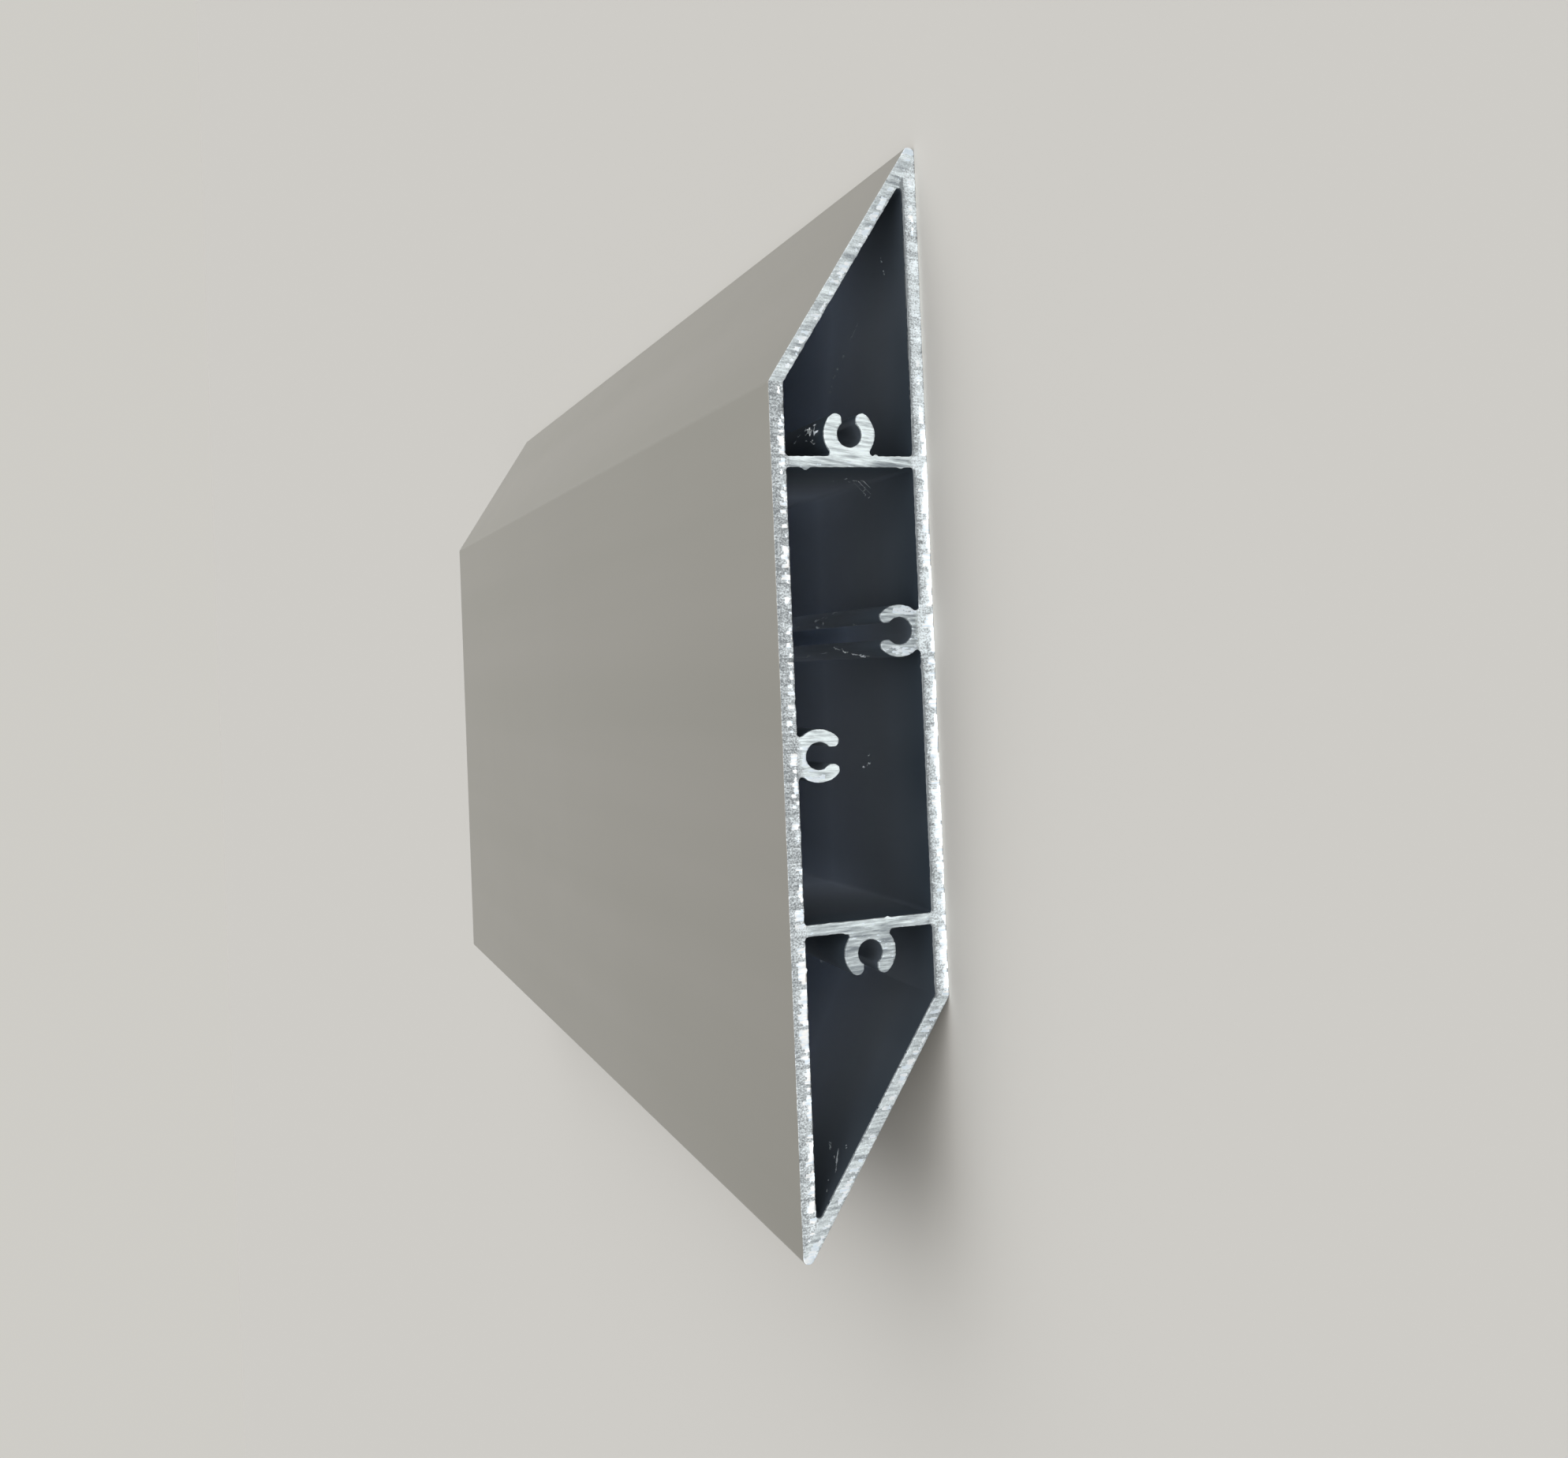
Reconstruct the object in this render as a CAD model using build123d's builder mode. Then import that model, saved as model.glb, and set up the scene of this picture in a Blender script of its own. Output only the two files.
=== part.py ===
"""Aluminium louvre profile: a hollow rhomboid blade, 148.5 by 22 mm, sawn off at 320 mm.

The blade lies on one of its broad faces. X runs across the blade, Y along the extrusion
and Z up. The origin is at mid-length, in the middle of the face that it lies on.
"""
import os
from math import radians, sin, tan

from build123d import *

# Outside of the blade, in millimetres and degrees
length = 320.0
width = 148.5  # over the two rounded tips
thickness = 22.0  # over the two broad faces
slant_angle = 32.5  # between a slanted edge and the broad faces
tip_radius = 0.8
kink_radius = 1.0

# Walls, webs and the corners inside the three chambers
broad_wall = 2.0
slant_wall = 1.8
web_wall = 1.5
web_spacing = 62.0  # between the middles of the two webs
chamber_radius = 0.5

# Screw ports, which take the screws of an end plate. Those on the broad walls are more open.
web_hole_diameter = 3.5
web_port_arm = 1.85  # thickness of the arm around the hole
web_port_gap = 2.0  # between the two ends of the arm
web_hole_height = 2.9  # middle of the hole above the face that the port stands on
wall_hole_diameter = 3.7
wall_port_arm = 1.7
wall_port_gap = 2.3
wall_hole_height = 3.0
wall_port_offset = 8.1  # from the middle of the blade
port_root_radius = 0.5
slit_radius = 0.3  # where the hole opens into the slit between the arm's ends
arm_end_share = 0.56  # of the end of an arm, taken up by its outer rounding

# Corners of the outside, measured from the middle of the section, with the tips still sharp
slant = radians(slant_angle)
tip_x = width / 2 + tip_radius / tan(slant / 2) - tip_radius
kink_x = tip_x - thickness / tan(slant)
half_thickness = thickness / 2

# Corners of the inside, where the broad walls meet the slanted ones
inner_height = thickness - 2 * broad_wall
half_inner_height = inner_height / 2
inner_tip_x = tip_x - broad_wall / tan(slant) - slant_wall / sin(slant)
inner_kink_x = inner_tip_x - inner_height / tan(slant)


def screw_port(hole_diameter, arm, gap, hole_height, wall):
    """Sketch of a C-shaped port, which stands on the X axis, opens upwards, and has its foot
    in the wall that it grows out of."""
    radius = hole_diameter / 2 + arm
    with BuildSketch() as port:
        with Locations((0, hole_height)):
            Circle(radius)
        Rectangle(
            2 * (radius + port_root_radius),
            wall / 2,
            align=(Align.CENTER, Align.MAX),
        )
        on_foot = port.vertices().group_by(Axis.Y)[1]
        fillet(on_foot.sort_by(Axis.X)[1:3], port_root_radius)
        with Locations((0, hole_height)):
            Circle(hole_diameter / 2, mode=Mode.SUBTRACT)
            Rectangle(
                gap,
                2 * radius,
                align=(Align.CENTER, Align.MIN),
                mode=Mode.SUBTRACT,
            )
        fillet(port.vertices().group_by(Axis.Y)[-2], slit_radius)
        end_radius = arm_end_share * (arm - slit_radius)
        fillet(port.vertices().group_by(Axis.Y)[-1], end_radius)
    return port.sketch


web_port = screw_port(
    web_hole_diameter,
    web_port_arm,
    web_port_gap,
    web_hole_height,
    web_wall,
)
wall_port = screw_port(
    wall_hole_diameter,
    wall_port_arm,
    wall_port_gap,
    wall_hole_height,
    broad_wall,
)

# Chambers: the inside of the skin, parted by the two webs
with BuildSketch() as chambers:
    with BuildLine():
        Polyline(
            (inner_tip_x, -half_inner_height),
            (inner_kink_x, half_inner_height),
            (-inner_tip_x, half_inner_height),
            (-inner_kink_x, -half_inner_height),
            close=True,
        )
    make_face()
    with GridLocations(web_spacing, 0, 2, 1):
        Rectangle(web_wall, inner_height, mode=Mode.SUBTRACT)
    fillet(chambers.vertices(), chamber_radius)

# The section stands on the floor, with its middle half the thickness up
section_plane = Plane(
    origin=(0, 0, half_thickness),
    x_dir=(1, 0, 0),
    z_dir=(0, -1, 0),
)

# One port stands on the outer face of a web, and one on the inside of a broad wall
on_web = Location(((web_spacing + web_wall) / 2, 0, 0), (0, 0, -90))
on_broad_wall = Location((wall_port_offset, -half_inner_height, 0))

with BuildPart() as louvre_profile:
    with BuildSketch(section_plane) as section:
        with BuildLine():
            Polyline(
                (tip_x, -half_thickness),
                (kink_x, half_thickness),
                (-tip_x, half_thickness),
                (-kink_x, -half_thickness),
                close=True,
            )
        make_face()
        kinks = section.vertices().sort_by(Axis.X)[1:3]
        fillet(kinks, kink_radius)
        tips = section.vertices().group_by(Axis.X)
        fillet(tips[0] + tips[-1], tip_radius)
        add(chambers.sketch, mode=Mode.SUBTRACT)
        # The section looks the same after half a turn, so each port has a twin
        with PolarLocations(0, 2):
            with Locations(on_web):
                add(web_port)
            with Locations(on_broad_wall):
                add(wall_port)
    extrude(amount=length / 2, both=True)

louvre_profile.part.label = "louvre_profile"

os.makedirs("parts", exist_ok=True)
export_step(louvre_profile.part, "parts/louvre_profile.step")
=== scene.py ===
"""Looks of the aluminium louvre profile: a hollow rhomboid blade with sawn ends."""
import math

import bmesh
import bpy
from mathutils import Matrix, Vector, noise
from mathutils.bvhtree import BVHTree


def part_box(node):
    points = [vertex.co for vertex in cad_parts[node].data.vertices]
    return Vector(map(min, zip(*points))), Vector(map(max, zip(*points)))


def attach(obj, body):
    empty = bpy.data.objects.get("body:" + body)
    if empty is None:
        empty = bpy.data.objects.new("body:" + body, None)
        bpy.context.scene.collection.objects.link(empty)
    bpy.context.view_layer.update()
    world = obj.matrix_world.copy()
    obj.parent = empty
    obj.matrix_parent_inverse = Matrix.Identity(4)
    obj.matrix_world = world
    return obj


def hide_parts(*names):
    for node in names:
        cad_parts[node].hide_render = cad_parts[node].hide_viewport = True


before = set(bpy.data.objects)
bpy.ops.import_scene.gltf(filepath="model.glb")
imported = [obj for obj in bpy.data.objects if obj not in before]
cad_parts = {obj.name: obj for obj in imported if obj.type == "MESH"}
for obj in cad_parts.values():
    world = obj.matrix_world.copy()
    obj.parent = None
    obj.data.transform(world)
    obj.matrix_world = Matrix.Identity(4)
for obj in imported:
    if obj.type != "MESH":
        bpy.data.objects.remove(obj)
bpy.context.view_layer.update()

mm = 0.001

# Camera: close to the near end, over the blade and looking down along it, rolled by a
# quarter turn as in the photograph, which shows the blade on its narrow edge.
photo_width = 1988  # in pixels
photo_height = 1848
focal_length = 2274.5  # in pixels of the photograph
principal_point = (1286.1, 779.6)
sensor_width = 36.0
camera_place = Vector((4.24, -387.67, 90.36)) * mm
to_the_right = Vector((-0.04295, -0.40917, -0.91145))
upwards = Vector((0.99884, -0.03752, -0.03022))
backwards = Vector((-0.02183, -0.91169, 0.41031))

camera_data = bpy.data.cameras.new("camera")
camera_data.sensor_width = sensor_width
camera_data.lens = sensor_width * focal_length / photo_width
camera_data.shift_x = (photo_width / 2 - principal_point[0]) / photo_width
camera_data.shift_y = (principal_point[1] - photo_height / 2) / photo_width
camera_data.clip_start = 0.01
camera = bpy.data.objects.new("camera", camera_data)
turn = Matrix((to_the_right, upwards, backwards)).transposed()
camera.matrix_world = Matrix.Translation(camera_place) @ turn.to_4x4()
bpy.context.collection.objects.link(camera)
bpy.context.scene.camera = camera

# Blade: one extrusion of aluminium, so its skin, webs and screw ports are one mesh. Its
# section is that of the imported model, and it was sawn off square at both ends. The sawn
# faces are cut into strips that are fine enough for the marks of the saw.
node = bpy.data.objects["louvre_profile"]
lowest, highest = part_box("louvre_profile")
near_end = lowest.y
far_end = highest.y
thickness = highest.z - lowest.z
half_width = (highest.x - lowest.x) / 2

mark_pitch = 0.16 * mm  # between two cuts across the blade
mark_run = 0.26 * mm  # between two cuts along the saw marks
mark_lean = math.radians(3)  # from Z towards +X, in the middle of the blade
lip_steps = (0.07 * mm, 0.4 * mm, 1.2 * mm)  # rings of vertices behind each sawn end
merged_within = 0.001 * mm  # vertices that are closer than this are one
snapped_within = 0.004 * mm  # a strip's cut passes through vertices that are this close
hair = 0.01 * mm  # places that are closer than this count as the same

blade_skin = 0
blade_cut = 1
blade_chamber = 2


def cut_with_plane(metal, place, direction, closeness):
    """Cut all faces with one plane, which passes through the vertices that are close to it."""
    bmesh.ops.bisect_plane(
        metal,
        geom=metal.verts[:] + metal.edges[:] + metal.faces[:],
        dist=closeness,
        plane_co=place,
        plane_no=direction,
    )


def cut_in_strips(metal, direction, pitch, reach):
    """Cut all faces with parallel planes, pitch apart, on both sides of the middle."""
    middle = Vector((0, 0, thickness / 2))
    for step in range(-int(reach / pitch), int(reach / pitch) + 1):
        place = direction * pitch * step + middle
        cut_with_plane(metal, place, direction, snapped_within)


def open_outlines(metal):
    """The closed outlines of an open mesh, each as the set of its vertices."""
    left = {edge for edge in metal.edges if edge.is_boundary}
    outlines = []
    while left:
        outline = set(left.pop().verts)
        waiting = list(outline)
        while waiting:
            for edge in waiting.pop().link_edges:
                if edge in left:
                    left.discard(edge)
                    reached = set(edge.verts) - outline
                    outline |= reached
                    waiting.extend(reached)
        outlines.append(outline)
    return outlines


blade = bmesh.new()
blade.from_mesh(node.data)
bmesh.ops.remove_doubles(blade, verts=blade.verts, dist=merged_within)
bmesh.ops.dissolve_limit(
    blade,
    angle_limit=math.radians(0.5),
    verts=blade.verts,
    edges=blade.edges,
)
beyond_the_cut = [f for f in blade.faces if max(v.co.y for v in f.verts) > near_end + hair]
bmesh.ops.delete(blade, geom=beyond_the_cut, context="FACES")

along_marks = Vector((math.sin(mark_lean), 0, math.cos(mark_lean)))
across_marks = Vector((math.cos(mark_lean), 0, -math.sin(mark_lean)))
cut_in_strips(blade, along_marks, mark_run, thickness)
cut_in_strips(blade, across_marks, mark_pitch, half_width + thickness / 4)

# The outline of the blade is wider than those of its chambers
outside = blade.verts.layers.int.new("outside")
for outline in open_outlines(blade):
    places = [v.co.x for v in outline]
    if max(places) - min(places) > 1.9 * half_width:
        for v in outline:
            v[outside] = 1

# The cut section is drawn out to the far end
for face in blade.faces:
    face.material_index = blade_cut
drawn = bmesh.ops.extrude_face_region(blade, geom=blade.faces[:], use_keep_orig=True)
for piece in drawn["geom"]:
    if isinstance(piece, bmesh.types.BMVert):
        piece.co.y = far_end
bmesh.ops.recalc_face_normals(blade, faces=blade.faces)
for face in blade.faces:
    if abs(face.normal.y) < 0.5:
        skinned = all(v[outside] for v in face.verts)
        face.material_index = blade_skin if skinned else blade_chamber
for step in lip_steps:
    for y in (near_end + step, far_end - step):
        cut_with_plane(blade, Vector((0, y, 0)), Vector((0, 1, 0)), merged_within)
blade.normal_update()

# Saw marks: the saw went through the thickness, so its marks lie along Z. In each wall the
# teeth smeared the metal at the lower side, and tore it off duller above that. The smears are
# burnished metal, painted white as a painted highlight. How much they smeared differs from
# wall to wall, and from one stroke of the saw to the next.

# Places on a sawn end, as X and Z in millimetres, where a share of a wall is 0 at its lower
# face and 1 at its upper face
slant = math.radians(32.5)
kink_place = 41.66  # where a broad face turns into a slanted edge
middle_height = 11
broad_wall = 2.0
slant_wall_height = 1.8 / math.cos(slant)
half_web = 0.75
web_place = 31.0  # of the middle of a web
web_foot = (1.3, 0.6)  # from the middle of a web, over which the wall becomes the web's foot
wall_port_place = 8.1
port_foot = (4.4, 3.0)  # the same, from the middle of a port on a broad wall
near_ports = 14  # within this of the middle, all that stands off the walls is ports
tip_highlight_smear = (72.6, 73.8)  # from here on the tips are smeared all over, and painted white there as a painted highlight

tooth_pitch = 0.75  # along X, for one stroke of the saw through the lower wall
close_tooth_pitch = 0.7 * tooth_pitch  # through the other walls
mark_fan = 0.002  # by which the marks lean more, in radians to a millimetre along X
lower_change = (31, 42)  # along X, where the smears on the lower wall get fewer
upper_change = (-12, -34)  # along X, where those on the upper wall get more

# Depths of the marks, in millimetres
ridge_depth = 0.04
scratch_depth = 0.012
grain_depth = 0.02
least_depth = 0.02


def kept_in(value, low, high):
    """The value, or the limit that it is past."""
    return min(max(value, low), high)


def smooth_step(low, high, value):
    """From 0 at low to 1 at high, with an easy start and end. Either may be the larger."""
    share = kept_in((value - low) / (high - low), 0, 1)
    return share * share * (3 - 2 * share)


def noise_at(a, b, c):
    """Smooth noise, from about -1 to 1."""
    return noise.noise(Vector((a, b, c)))


def wall_at(x, z):
    """The wall at a place, and the share of it that lies below the place. On a web, a port or
    anything else that stands off the wall, the share is below 0 or above 1."""
    top = thickness / mm
    low_slant = (-x - kink_place) * math.tan(slant)
    high_slant = top - (x - kink_place) * math.tan(slant)
    if x < -kink_place and z < low_slant + slant_wall_height:
        return "slanted", (z - low_slant) / slant_wall_height
    if x > kink_place and z > high_slant - slant_wall_height:
        return "slanted", (z - high_slant) / slant_wall_height + 1
    if z < top / 2:
        return "lower", z / broad_wall
    return "upper", (z - top) / broad_wall + 1


def stroke_on_wall(wall, x, share, joined, slow, chance):
    """What one stroke of the saw did to a wall: the shares between which it smears the metal,
    whether it smears it at all, the tone of the torn metal, with painted shade along the lower
    wall's rim next to the chamber, and the height of the slope that it leaves. A wall that is
    joined by a web or a port is smeared further up."""
    if wall == "lower":
        changed = smooth_step(*lower_change, x)
        begins = 0.38 * changed - 0.1
        ends = 0.45 + 0.28 * (chance[0] - 0.5) + 0.14 * slow - 0.02 * changed
        ends += 0.5 * joined * chance[1]
        smears = chance[3] < 1 - 0.55 * changed
        tone = 0.85 - (0.44 - 0.14 * changed) * smooth_step(0.4, 0.9, share) * (1 - joined)
        # Painted shade: the torn metal is painted darker along the rim next to the chamber,
        # where the edge curves away into the hollow
        tone -= 0.95 * smooth_step(0.8, 0.97, share) * (1 - joined)
        slope = 0.24 - 0.16 * changed
    elif wall == "upper":
        changed = smooth_step(*upper_change, x)
        begins = 0.2 - 0.2 * changed + 0.16 * (chance[1] - 0.5)
        ends = 0.47 + 0.1 * changed + 0.25 * (chance[0] - 0.5) + 0.1 * slow
        smears = chance[3] < 0.3 + 0.16 * changed
        tone = 0.46 + 0.1 * changed - 0.2 * smooth_step(0.6, 0.95, share)
        slope = 0.1
    else:
        begins = 0.16
        ends = 0.6 + 0.4 * (chance[0] - 0.5)
        smears = chance[3] < 0.26
        tone = 0.58
        slope = 0.02
    return begins, ends, smears, tone, slope


def sawn_place(x, z, seed):
    """Depth in millimetres, smeared share, tone with its painted light and shade, and web
    share, for a place on a sawn end.
    """
    line = x - (z - middle_height) * (mark_lean + mark_fan * x)
    line += 0.2 * noise_at(x / 4, z / 5, seed)
    ridges = 0.5 + 0.5 * noise_at(line / 0.3, z / 4, seed)
    scratches = noise_at(line / 0.17, z / 1.5, seed + 3)
    grain = noise_at(line / 0.4, z / 0.7, seed + 8)
    depth = ridge_depth * ridges + scratch_depth * scratches + least_depth

    # Strokes of the saw, each with its own chances
    wall, share = wall_at(x, z)
    pitch = tooth_pitch if wall == "lower" else close_tooth_pitch
    strokes = line / pitch + 0.9 * noise_at(line / 1.6, z / 6, seed + 5)
    stroke = math.floor(strokes)
    wall_seed = 7.5 if wall == "upper" else 0.5
    chance = [noise.cell(Vector((stroke + 0.5, k + wall_seed, seed + 0.5))) for k in range(4)]
    slow = noise_at(x / 5, seed, wall_seed)
    port_place = wall_port_place if wall == "lower" else -wall_port_place
    joined = smooth_step(*port_foot, abs(x - port_place)) if wall != "slanted" else 0
    joined = max(joined, smooth_step(*web_foot, abs(abs(x) - web_place)))
    begins, ends, smears, tone, slope = stroke_on_wall(wall, x, share, joined, slow, chance)

    smeared = 1 if smears else 0
    smeared *= smooth_step(begins - 0.08, begins + 0.08, share)
    smeared *= smooth_step(ends + 0.07, ends - 0.07, share)
    slope += 0.04 * chance[1] if smears else -0.5 * slope
    to_tip = -x if wall == "upper" else x
    slope *= smooth_step(-kink_place, 1.5 - kink_place, to_tip) * smooth_step(73, 66, to_tip)
    lip = slope * kept_in((share - begins) / (ends - begins), 0, 1)
    lip += 0.06 * (chance[2] - 0.5) * (strokes - stroke - 0.5)
    tone += (0.12 * grain + 0.2 * (chance[2] - 0.5)) * smooth_step(1.1, 0.5, share)

    # Webs and ports start as the wall that they grow out of, and take on long fibres
    band = noise_at(line / 0.35, z / 3, seed + 7)
    off_wall = broad_wall * max(share - 1, -share, 0)
    webbed = smooth_step(0, 0.8, off_wall * (1 + 0.8 * band))
    streaked = abs(x) < near_ports and chance[3] < 0.6 - 0.3 * off_wall
    streaks = 0.65 if streaked else 0.2 + 0.35 * band
    smeared += (streaks - smeared) * webbed
    # Painted light and shade: a web is painted lighter on its +X side and darker on its -X
    # side, as its curled edges catch the light on one side and fall into shade on the other
    web_shade_side = kept_in((x - math.copysign(web_place, x)) / half_web, -1, 1)
    tone += (0.56 + 0.4 * band + 0.25 * web_shade_side - tone) * webbed
    lip += (0.03 * band - lip) * webbed
    if wall == "slanted":
        webbed = 0.6
    # Painted highlight: the tips are painted white all over
    smeared = max(smeared, smooth_step(*tip_highlight_smear, abs(x)))
    return max(depth + lip + grain_depth * grain, 0), smeared, tone, webbed


# Torn edges: the saw pushed a thin ragged lip into the chambers, with a few nibs, and the
# outer edges are slightly worn. All of it is the blade's own metal. Each nib has its X and
# Z, its reach and its breadth, in millimetres.
nibs = (
    (30.25, 17.35, 0.42, 0.5),
    (30.25, 3.9, 0.24, 0.4),
    (-30.25, 8.4, 0.24, 0.3),
    (-30.25, 16.4, 0.16, 0.6),
    (31.75, 7.4, 0.3, 0.25),
    (-31.75, 14.2, 0.2, 0.4),
    (3.1, 2.0, 0.16, 0.3),
    (-36.0, 20.0, 0.14, 0.3),
    (-4.5, 18.6, 0.16, 0.3),
    (-9.6, 15.9, 0.14, 0.3),
    (-34.2, 14.8, 0.16, 0.2),
    (36.9, 14.0, 0.1, 0.3),
)
near_seed = 0.3  # each end has its own marks
far_seed = 50.3
lip_zone = lip_steps[-1]
curl_zone = 0.6 * mm  # behind a sawn end, over which a lip curls inwards
bright_lip = 0.45 * mm  # behind a sawn end, where the lip still looks like the cut
wear = 0.02  # of the outer edges, in millimetres
sharp_above = math.radians(48)  # edges that turn by more stay sharp

# Bores of the screw ports, as X and Z of the middle in millimetres. The chamber metal is
# painted paler inside them, as painted light against the deeper shade there, so they are
# marked.
web_port_place = 34.65
wall_bore_height = 5
port_bores = (
    (web_port_place, middle_height),
    (-web_port_place, middle_height),
    (wall_port_place, wall_bore_height),
    (-wall_port_place, 2 * middle_height - wall_bore_height),
)
bore_radius = 1.85


def lip_reach(x, z, seed):
    """How far the torn edge of a chamber stands into it, in millimetres."""
    slow = noise_at(x / 1.1, z / 1.1, seed + 9)
    quick = noise_at(x / 0.35, z / 0.35, seed + 11)
    reach = 0.055 * slow + 0.055 * quick - 0.03
    for nib_x, nib_z, height, breadth in nibs:
        away = ((x - nib_x) ** 2 + (z - nib_z) ** 2) / breadth**2
        if away < 9:
            reach += height * math.exp(-away)
    return reach


def edge_move(v, x, z, gap, seed):
    """How far a vertex on or behind the edge of a sawn end moves off the walls there."""
    walls = [f.normal for f in v.link_faces if abs(f.normal.y) < 0.5]
    if not walls:
        return Vector()
    out = sum(walls, Vector()).normalized()
    if not v[outside]:
        curl = (1 - gap / curl_zone) ** 2 if gap < curl_zone else 0
        return out * lip_reach(x, z, seed) * curl * mm
    if gap < hair:
        worn = wear + wear * noise_at(x / 0.8, z / 0.8, seed)
        return -out * worn * mm
    return Vector()


sawn = blade.verts.layers.float_vector.new("sawn")
in_port = blade.verts.layers.float.new("in_port")
moves = []
for v in blade.verts:
    x = v.co.x / mm
    z = v.co.z / mm
    off_bore = min(math.hypot(x - bore_x, z - bore_z) for bore_x, bore_z in port_bores)
    v[in_port] = smooth_step(bore_radius + 0.9, bore_radius + 0.1, off_bore)
    from_near = v.co.y - near_end
    from_far = far_end - v.co.y
    near = from_near < from_far
    gap = min(from_near, from_far)
    if gap > lip_zone - hair:
        continue
    seed = near_seed if near else far_seed
    inwards = 1 if near else -1
    depth, smeared, tone, webbed = sawn_place(x, z, seed)
    v[sawn] = (smeared, tone, webbed)
    fade = 1 - gap / lip_zone
    move = Vector((0, inwards * depth * mm * fade, 0))
    moves.append((v, move + edge_move(v, x, z, gap, seed)))
for v, move in moves:
    v.co += move
for face in blade.faces:
    face.smooth = True
    behind = max(min(v.co.y - near_end, far_end - v.co.y) for v in face.verts)
    if face.material_index == blade_chamber and behind < bright_lip:
        face.material_index = blade_cut

profile_mesh = bpy.data.meshes.new("louvre_profile_dressed")
blade.to_mesh(profile_mesh)
blade.free()
profile_mesh.set_sharp_from_angle(angle=sharp_above)
profile = bpy.data.objects.new("louvre_profile_dressed", profile_mesh)
bpy.context.collection.objects.link(profile)
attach(profile, "root")
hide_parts("louvre_profile")

# Skin: the outer faces are plain mill finish, a satin grey with fine die lines along the
# extrusion, as the metal came out of the die.
skin_dark = (0.345, 0.341, 0.317)
skin_light = (0.373, 0.365, 0.345)


def new_finish(name, metallic):
    """A new material that is ready for its patterns."""
    finish = bpy.data.materials.new(name)
    finish.use_nodes = True
    shader = finish.node_tree.nodes["Principled BSDF"]
    shader.inputs["Metallic"].default_value = metallic
    return finish


def put_on(finish, colour, roughness, normal=None):
    """Link the patterns of a finish to its shader."""
    tree = finish.node_tree
    shader = tree.nodes["Principled BSDF"]
    tree.links.new(colour, shader.inputs["Base Color"])
    tree.links.new(roughness, shader.inputs["Roughness"])
    if normal:
        tree.links.new(normal, shader.inputs["Normal"])


def own_place(tree):
    """A place in the object's own frame."""
    return tree.nodes.new("ShaderNodeTexCoord").outputs["Object"]


def stretched_noise(tree, scale, detail=3.0, place=None, rough=0.5):
    """Noise at the object's own place or another, where scale is the number of waves to a
    metre on each axis."""
    mapping = tree.nodes.new("ShaderNodeMapping")
    mapping.inputs["Scale"].default_value = scale
    pattern = tree.nodes.new("ShaderNodeTexNoise")
    pattern.inputs["Scale"].default_value = 1.0
    pattern.inputs["Detail"].default_value = detail
    pattern.inputs["Roughness"].default_value = rough
    tree.links.new(place or own_place(tree), mapping.inputs["Vector"])
    tree.links.new(mapping.outputs["Vector"], pattern.inputs["Vector"])
    return pattern.outputs["Fac"]


def ranged(tree, value, low, high, out_low, out_high):
    """The value, taken from low..high to out_low..out_high and kept inside it."""
    change = tree.nodes.new("ShaderNodeMapRange")
    change.inputs["From Min"].default_value = low
    change.inputs["From Max"].default_value = high
    change.inputs["To Min"].default_value = out_low
    change.inputs["To Max"].default_value = out_high
    tree.links.new(value, change.inputs["Value"])
    return change.outputs["Result"]


def between_colours(tree, factor, first, second):
    """A colour between two, by factor. Each is written out or comes from a node."""
    mix = tree.nodes.new("ShaderNodeMix")
    mix.data_type = "RGBA"
    for socket, colour in ((mix.inputs["A"], first), (mix.inputs["B"], second)):
        if isinstance(colour, tuple):
            socket.default_value = (*colour, 1)
        else:
            tree.links.new(colour, socket)
    tree.links.new(factor, mix.inputs["Factor"])
    return mix.outputs["Result"]


def raised(tree, height, distance, under=None):
    """A bump of the given height in metres, on top of another one."""
    bump = tree.nodes.new("ShaderNodeBump")
    bump.inputs["Distance"].default_value = distance
    tree.links.new(height, bump.inputs["Height"])
    if under:
        tree.links.new(under, bump.inputs["Normal"])
    return bump.outputs["Normal"]


skin = new_finish("satin_skin", 1.0)
tree = skin.node_tree
die_lines = stretched_noise(tree, (900, 2.5, 900), detail=4)
wide_streaks = stretched_noise(tree, (60, 1.5, 60), detail=3)
clouds = stretched_noise(tree, (14, 9, 14), detail=3)
tone = ranged(tree, wide_streaks, 0.3, 0.7, 0, 1)
put_on(
    skin,
    between_colours(tree, tone, skin_dark, skin_light),
    ranged(tree, clouds, 0.3, 0.7, 0.3, 0.4),
    raised(tree, die_lines, 0.006 * mm),
)
profile_mesh.materials.append(skin)

# Cut: bare aluminium, freshly sawn, so it is the brightest part. The walls have short dashes
# across them, white where the teeth smeared the metal, which is burnished metal painted white
# as a painted highlight, and mottled grey where it tore, and the webs have long fibres along
# them, where the saw ran the same way as the web.
torn_dark = (0.3, 0.325, 0.345)
torn_light = (0.9, 0.96, 1.0)
fibre_dark = (0.295, 0.335, 0.37)
fibre_light = (0.9, 0.975, 1.0)
smear_highlight_grey = (0.76, 0.86, 0.96)
smear_highlight_white = (1.0, 1.0, 1.0)


def combined(tree, operation, first, second):
    """Two values put together by a Math node, where either may be a plain number."""
    sum_up = tree.nodes.new("ShaderNodeMath")
    sum_up.operation = operation
    for socket, value in zip(sum_up.inputs, (first, second)):
        if isinstance(value, (int, float)):
            socket.default_value = value
        else:
            tree.links.new(value, socket)
    return sum_up.outputs["Value"]


def parted(tree, vector):
    """X, Y and Z of a vector."""
    parts = tree.nodes.new("ShaderNodeSeparateXYZ")
    tree.links.new(vector, parts.inputs["Vector"])
    return parts.outputs["X"], parts.outputs["Y"], parts.outputs["Z"]


def marked(tree, layer, output):
    """What the mesh carries at each vertex, in the layer of that name."""
    mark = tree.nodes.new("ShaderNodeAttribute")
    mark.attribute_name = layer
    return mark.outputs[output]


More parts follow.
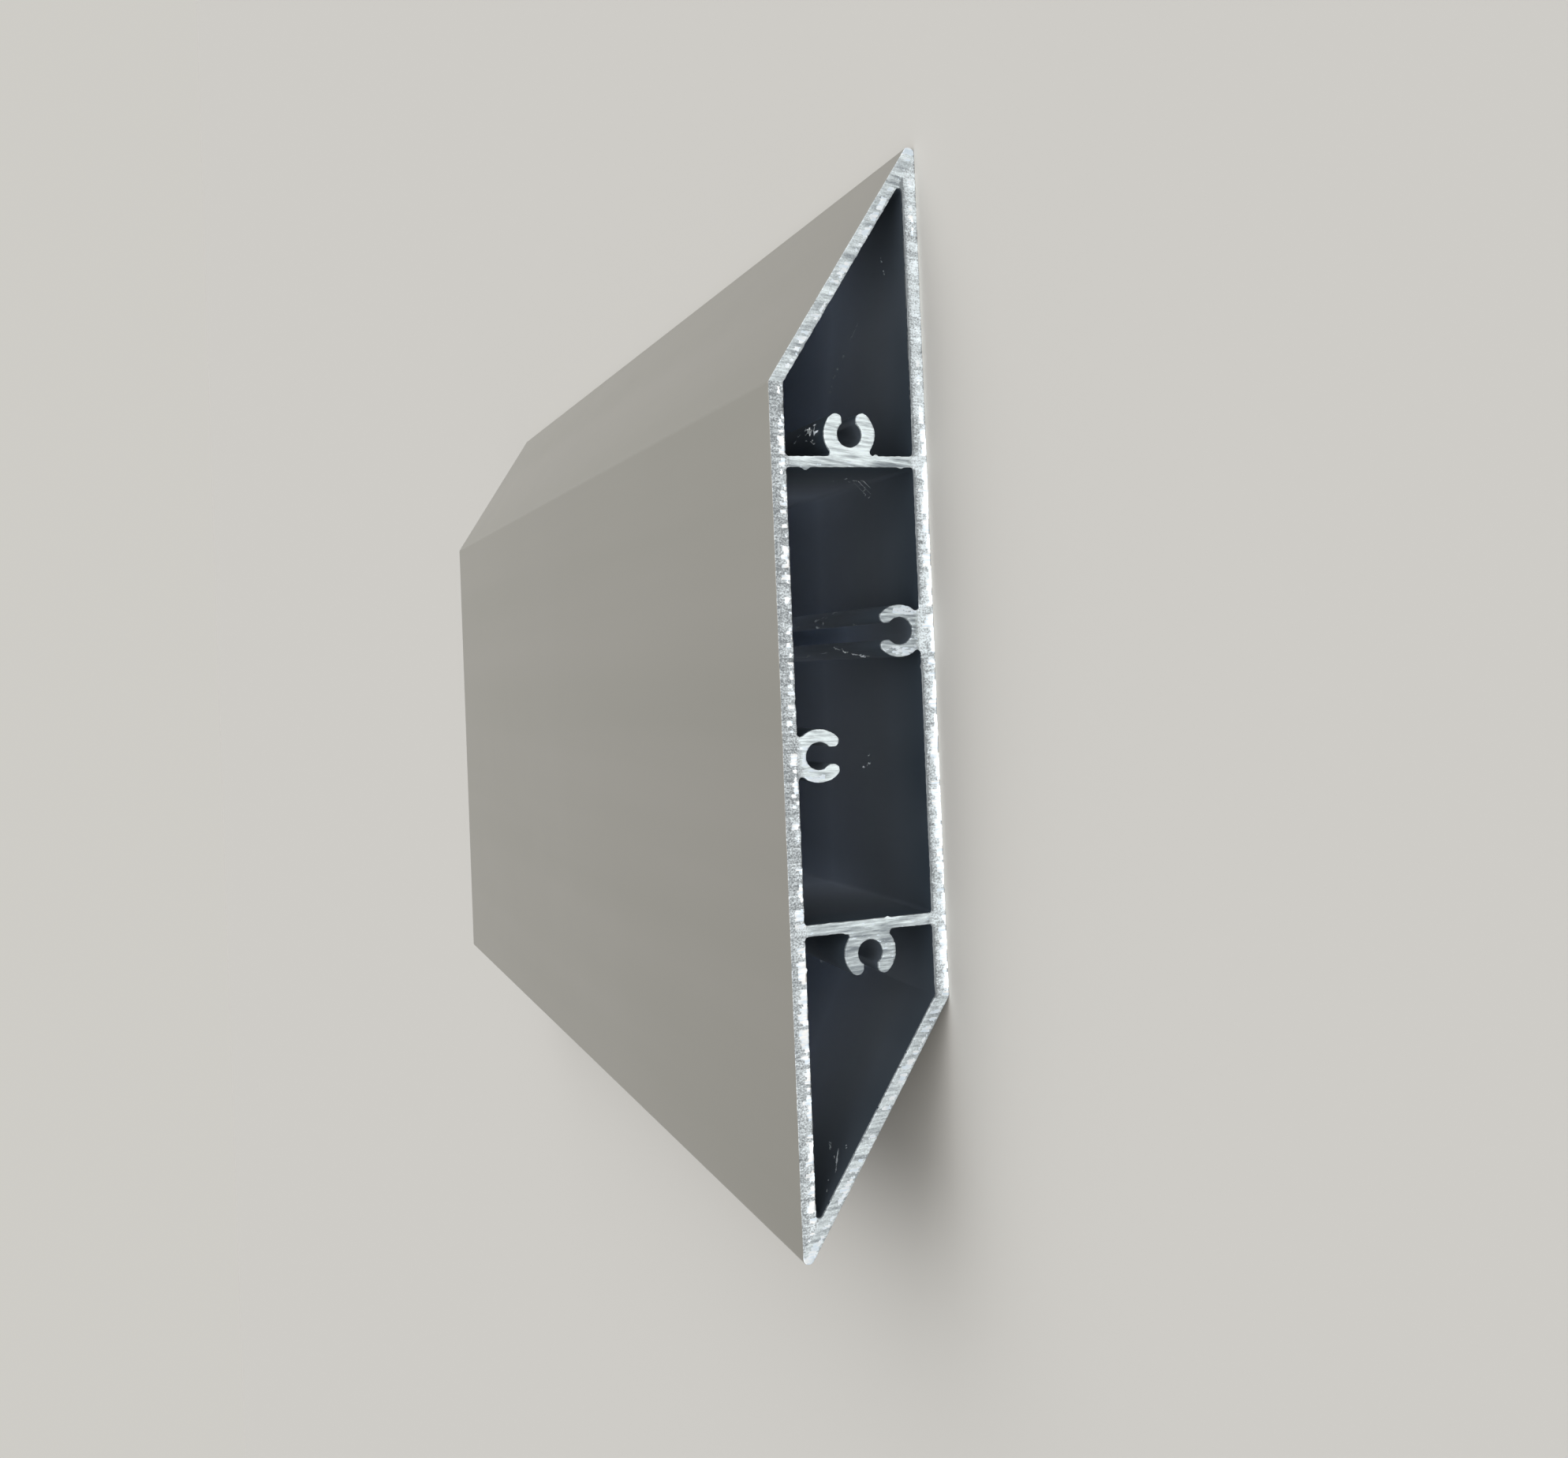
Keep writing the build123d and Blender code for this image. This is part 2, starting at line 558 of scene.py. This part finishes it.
def along_the_marks(tree):
    """The object's own place, with X turned so that it stays the same along a saw mark."""
    x, y, z = parted(tree, own_place(tree))
    lean = combined(tree, "MULTIPLY", x, mark_fan / mm)
    lean = combined(tree, "ADD", lean, mark_lean)
    height = combined(tree, "SUBTRACT", z, thickness / 2)
    line = combined(tree, "SUBTRACT", x, combined(tree, "MULTIPLY", height, lean))
    turned = tree.nodes.new("ShaderNodeCombineXYZ")
    for value, socket in zip((line, y, z), turned.inputs):
        tree.links.new(value, socket)
    return turned.outputs["Vector"]


cut = new_finish("sawn_end", 1.0)
tree = cut.node_tree
smear_mark, tone_mark, web_mark = parted(tree, marked(tree, "sawn", "Vector"))
fanned = along_the_marks(tree)
tooth_scratches = stretched_noise(tree, (4200, 300, 500), place=fanned)
dashes = stretched_noise(tree, (3100, 300, 620), place=fanned)
fibres = stretched_noise(tree, (2700, 300, 260), detail=4, place=fanned, rough=0.65)
tears = stretched_noise(tree, (2600, 600, 1300), detail=2)
grains = stretched_noise(tree, (4600, 800, 3800), detail=2, rough=0.6)
frayed = combined(tree, "ADD", smear_mark, ranged(tree, tears, 0.3, 0.7, -0.3, 0.3))
smeared = ranged(tree, frayed, 0.42, 0.58, 0, 1)
torn_tone = combined(tree, "ADD", tone_mark, ranged(tree, dashes, 0.32, 0.68, -0.22, 0.22))
torn_tone = combined(tree, "ADD", torn_tone, ranged(tree, grains, 0.34, 0.66, -0.42, 0.42))
fibre_tone = combined(tree, "ADD", ranged(tree, fibres, 0.32, 0.68, -0.5, 0.5), tone_mark)
# Painted highlight: the smears are painted white in dashes, less so on the webs
highlight_whiteness = ranged(tree, dashes, 0.4, 0.58, 0, 1)
highlight_whiteness = combined(tree, "MULTIPLY", highlight_whiteness, ranged(tree, web_mark, 0, 1, 1, 0.35))
torn_colour = between_colours(tree, torn_tone, torn_dark, torn_light)
fibre_colour = between_colours(tree, fibre_tone, fibre_dark, fibre_light)
smear_highlight_colour = between_colours(tree, highlight_whiteness, smear_highlight_grey, smear_highlight_white)
dull_colour = between_colours(tree, web_mark, torn_colour, fibre_colour)
put_on(
    cut,
    between_colours(tree, smeared, dull_colour, smear_highlight_colour),
    ranged(tree, smeared, 0, 1, 0.7, 0.5),
    raised(tree, tooth_scratches, 0.03 * mm, raised(tree, tears, 0.02 * mm)),
)
profile_mesh.materials.append(cut)

# Chambers: the bare inside of the extrusion, which is dull and is the same metal as the rest.
# Its dark colour is painted shade, for the shade that fills the hollow. The colour is painted
# paler further in, in the tapered chambers and inside the bores of the ports, where less light
# gets. This is painted light that evens out the shade, so that all of it looks about as dark
# as it does by the cut.
chamber_painted_shade = (0.053, 0.072, 0.093)
chamber_painted_light = (0.78, 0.85, 0.95)
painted_light_depth = 42 * mm  # behind a sawn end, where the colour has become the lighter one

chamber = new_finish("chamber_wall_painted_shade", 0.3)
tree = chamber.node_tree
die_lines = stretched_noise(tree, (700, 2.5, 700), detail=4)
clouds = stretched_noise(tree, (60, 20, 60), detail=3)
x, y = parted(tree, own_place(tree))[:2]
across = combined(tree, "ABSOLUTE", x, 0)
along = combined(tree, "ABSOLUTE", y, 0)
# Painted light: the colour grows paler further behind the sawn ends, towards the tapers and
# inside the bores, against the deeper shade there
inwards = ranged(tree, along, far_end, far_end - painted_light_depth, 0, 1)
taper_light_gain = ranged(tree, across, 25 * mm, 55 * mm, 0.82, 1.5)
painted_light_share = combined(tree, "MULTIPLY", combined(tree, "POWER", inwards, 1.6), taper_light_gain)
taper_painted_light = ranged(tree, across, 35 * mm, 50 * mm, 0, 0.045)
painted_light_share = combined(tree, "ADD", painted_light_share, taper_painted_light)
bore_painted_light = ranged(tree, inwards, 0, 1, 0.08, 0.88)
painted_light_in_bore = combined(tree, "MULTIPLY", marked(tree, "in_port", "Fac"), bore_painted_light)
painted_light_share = combined(tree, "ADD", painted_light_share, painted_light_in_bore)
painted_light_share = combined(tree, "ADD", painted_light_share, ranged(tree, clouds, 0.3, 0.7, -0.02, 0.02))
put_on(
    chamber,
    between_colours(tree, painted_light_share, chamber_painted_shade, chamber_painted_light),
    ranged(tree, clouds, 0.3, 0.7, 0.45, 0.55),
    raised(tree, die_lines, 0.006 * mm),
)
profile_mesh.materials.append(chamber)

# Chips and scuffs: thin shreds of the same metal, which the saw threw into the chambers.
# Most lie flat as faint feathers where something rubbed along, and a few stand up. They
# cling to the nearest wall.
shred_grey = (0.74, 0.8, 0.86)
shred_white = (0.95, 1.0, 1.0)
shred_steps = 9  # faces along a shred
shred_thickness = 0.008 * mm
shred_lift = 0.012  # of a shred off its bed, in millimetres

# Each row has the start and the end of a scuff, as X, depth behind the sawn end and Z, then
# how far its shreds lie apart, their number, their width and how high they stand, all in
# millimetres.
scuffs = (
    ((35.6, 3.6, 14.5), (36.3, 9.0, 14.2), 0.06, 5, 0.45, 0.6),
    ((36.0, 7.5, 14.4), (36.5, 12.0, 14.1), 0.15, 4, 0.25, 0.5),
    ((36.1, 8.5, 14.3), (36.1, 15.5, 14.3), 0.35, 6, 0.16, 0.25),
    ((34.6, 6.9, 14.6), (34.3, 3.2, 14.6), 0.2, 4, 0.12, 0.06),
    ((45.9, 33.8, 2.0), (46.9, 32.3, 2.0), 0.15, 3, 0.22, 0.05),
    ((48.0, 31.4, 2.0), (49.0, 29.4, 2.0), 0.15, 3, 0.22, 0.05),
    ((50.4, 26.4, 2.0), (51.6, 23.9, 2.0), 0.12, 3, 0.14, 0.04),
    ((52.6, 22.4, 2.0), (55.4, 17.2, 2.0), 0.1, 3, 0.1, 0.03),
    ((60.9, 9.2, 2.0), (60.2, 8.6, 2.0), 0.12, 3, 0.12, 0.05),
    ((58.9, 8.4, 2.0), (58.4, 8.0, 2.0), 0.1, 2, 0.12, 0.05),
    ((30.2, 15.9, 7.3), (30.2, 12.4, 6.7), 0.2, 4, 0.1, 0.06),
    ((30.2, 17.6, 5.0), (30.2, 20.4, 2.5), 0.8, 8, 0.12, 0.1),
    ((29.8, 19.2, 2.0), (28.8, 21.2, 2.0), 0.3, 4, 0.1, 0.06),
    ((10.5, 26.4, 7.6), (11.5, 21.2, 6.2), 0.3, 8, 0.16, 0.3),
    ((10.3, 37.9, 7.7), (10.6, 34.7, 7.6), 0.2, 3, 0.1, 0.05),
    ((9.5, 10.6, 7.6), (9.6, 7.8, 7.6), 0.12, 3, 0.1, 0.05),
    ((5.8, 15.8, 7.7), (4.8, 7.2, 6.3), 0.12, 9, 0.2, 0.35),
    ((5.4, 35.0, 7.3), (5.8, 22.0, 7.6), 0.2, 6, 0.12, 0.04),
    ((-9.6, 22.8, 2.0), (-9.8, 22.1, 2.0), 0.1, 2, 0.14, 0.15),
    ((-11.1, 23.9, 2.0), (-10.6, 20.8, 2.0), 0.1, 3, 0.22, 0.3),
    ((-43.0, 46.8, 3.0), (-43.3, 45.4, 3.1), 0.1, 3, 0.25, 0.4),
    ((-61.8, 7.9, 15.0), (-62.9, 3.7, 15.6), 0.14, 5, 0.14, 0.06),
    ((-62.7, 4.2, 15.5), (-64.9, 1.2, 16.9), 0.12, 6, 0.16, 0.06),
    ((-65.3, 3.2, 17.2), (-65.8, 1.6, 17.5), 0.3, 3, 0.16, 0.06),
    ((-60.6, 3.8, 14.2), (-60.9, 3.0, 14.4), 0.2, 2, 0.12, 0.06),
)
blade_surface = BVHTree.FromPolygons(
    [v.co for v in profile_mesh.vertices],
    [tuple(p.vertices) for p in profile_mesh.polygons],
)


def nearest_wall(place):
    """The nearest place on the blade to one in millimetres, and the way up from it."""
    bed, up = blade_surface.find_nearest(place * mm)[:2]
    return bed, up


def add_shred(shreds, start, end, width, rise, seed):
    """One thin strip from start to end, tapering off and rising from its bed in between."""
    up = nearest_wall((start + end) / 2)[1]
    crosswise = (end - start).cross(up).normalized()
    made = bmesh.ops.create_grid(shreds, x_segments=shred_steps, y_segments=1, size=0.5)
    for v in made["verts"]:
        share = v.co.x + 0.5
        side = 2 * v.co.y
        taper = math.sin(math.pi * kept_in(share, 0.04, 0.96)) ** 0.7
        sway = noise_at(share * 2.5, seed, 0.5)
        jag = noise_at(share * 7, seed, 3.5 + side)
        crest = max(noise_at(share * 4, seed, 8.5) + 0.2, 0) * taper
        place = start.lerp(end, share)
        place += crosswise * (0.5 * width * taper * (side + 0.7 * jag) + 1.6 * width * sway)
        bed, up = nearest_wall(place)
        v.co = bed + up * (shred_lift + crest * (rise + 0.3 * width * side)) * mm


shreds = bmesh.new()
for number, (start, end, apart, count, width, rise) in enumerate(scuffs):
    first_place, last_place = (Vector((x, y + near_end / mm, z)) for x, y, z in (start, end))
    for k in range(count):
        seed = number * 13.7 + k * 3.1 + 0.4
        chance = [noise.cell(Vector((number + 0.5, k + 0.5, j + 0.5))) for j in range(4)]
        first = 0.6 * chance[0]
        last = first + 0.25 + 0.15 * chance[1]
        aside = Vector((chance[2] - 0.5, 0, chance[3] - 0.5)) * 2 * apart
        shred_start = first_place.lerp(last_place, first) + aside
        shred_end = first_place.lerp(last_place, last) + aside
        add_shred(shreds, shred_start, shred_end, width, rise, seed)
bmesh.ops.solidify(shreds, geom=shreds.faces[:], thickness=shred_thickness)
shred_mesh = bpy.data.meshes.new("chamber_shreds")
shreds.to_mesh(shred_mesh)
shreds.free()
scuffed = bpy.data.objects.new("chamber_shreds", shred_mesh)
bpy.context.collection.objects.link(scuffed)
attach(scuffed, "root")

shred_metal = new_finish("shred_metal", 0.2)
tree = shred_metal.node_tree
rubbed = ranged(tree, stretched_noise(tree, (900, 500, 900)), 0.35, 0.65, 0, 1)
put_on(
    shred_metal,
    between_colours(tree, rubbed, shred_grey, shred_white),
    ranged(tree, rubbed, 0, 1, 0.55, 0.35),
)
shred_mesh.materials.append(shred_metal)

# Floor: a plain matt sheet of pale paper, level and much larger than the view, on which the
# blade lies on its lower broad face.
floor_colour = (0.663, 0.643, 0.602)
floor_radius = 20.0

floor_mesh = bpy.data.meshes.new("floor")
sheet = bmesh.new()
bmesh.ops.create_circle(sheet, cap_ends=True, segments=64, radius=floor_radius)
sheet.to_mesh(floor_mesh)
sheet.free()
floor = bpy.data.objects.new("floor", floor_mesh)
bpy.context.collection.objects.link(floor)
paper = new_finish("pale_floor", 0.0)
paper_shader = paper.node_tree.nodes["Principled BSDF"]
paper_shader.inputs["Base Color"].default_value = (*floor_colour, 1)
paper_shader.inputs["Roughness"].default_value = 0.9
paper_shader.inputs["Specular IOR Level"].default_value = 0.0
floor_mesh.materials.append(paper)

# Studio: an even sky lights the blade softly, and the camera and the metal see a pale
# backdrop in its place, which is as light as the floor. Three wide, weak lamps stand far
# away, two in front of the near end and one above.
sky_colour = (0.95, 0.97, 1.0)
sky_strength = 0.36
backdrop_colour = (0.620, 0.606, 0.570)
front_strength = 1.1
front_spread = 92  # in degrees
top_strength = 1.3
top_spread = 100

world = bpy.data.worlds.new("studio")
world.use_nodes = True
bpy.context.scene.world = world
tree = world.node_tree
sky = tree.nodes["Background"]
sky.inputs["Color"].default_value = (*sky_colour, 1)
sky.inputs["Strength"].default_value = sky_strength
backdrop = tree.nodes.new("ShaderNodeBackground")
backdrop.inputs["Color"].default_value = (*backdrop_colour, 1)
backdrop.inputs["Strength"].default_value = 1.0
path = tree.nodes.new("ShaderNodeLightPath")
seen = combined(
    tree,
    "MAXIMUM",
    path.outputs["Is Camera Ray"],
    path.outputs["Is Glossy Ray"],
)
seen = combined(tree, "MAXIMUM", seen, path.outputs["Is Transmission Ray"])
choice = tree.nodes.new("ShaderNodeMixShader")
tree.links.new(seen, choice.inputs["Fac"])
tree.links.new(sky.outputs["Background"], choice.inputs[1])
tree.links.new(backdrop.outputs["Background"], choice.inputs[2])
tree.links.new(choice.outputs["Shader"], tree.nodes["World Output"].inputs["Surface"])


def soft_sun(name, direction, strength, spread):
    """A lamp far away, in the given direction from the blade, as wide as spread in degrees."""
    data = bpy.data.lights.new(name, "SUN")
    data.energy = strength
    data.angle = math.radians(spread)
    lamp = bpy.data.objects.new(name, data)
    lamp.rotation_euler = Vector(direction).to_track_quat("Z", "Y").to_euler()
    bpy.context.collection.objects.link(lamp)


for name, side in (("front_lamp_left", -1), ("front_lamp_right", 1)):
    soft_sun(name, (side * 0.22, -0.95, 0.25), front_strength, front_spread)
soft_sun("top_lamp", (0.45, 0.15, 0.85), top_strength, top_spread)
bpy.context.scene.view_settings.view_transform = "Standard"
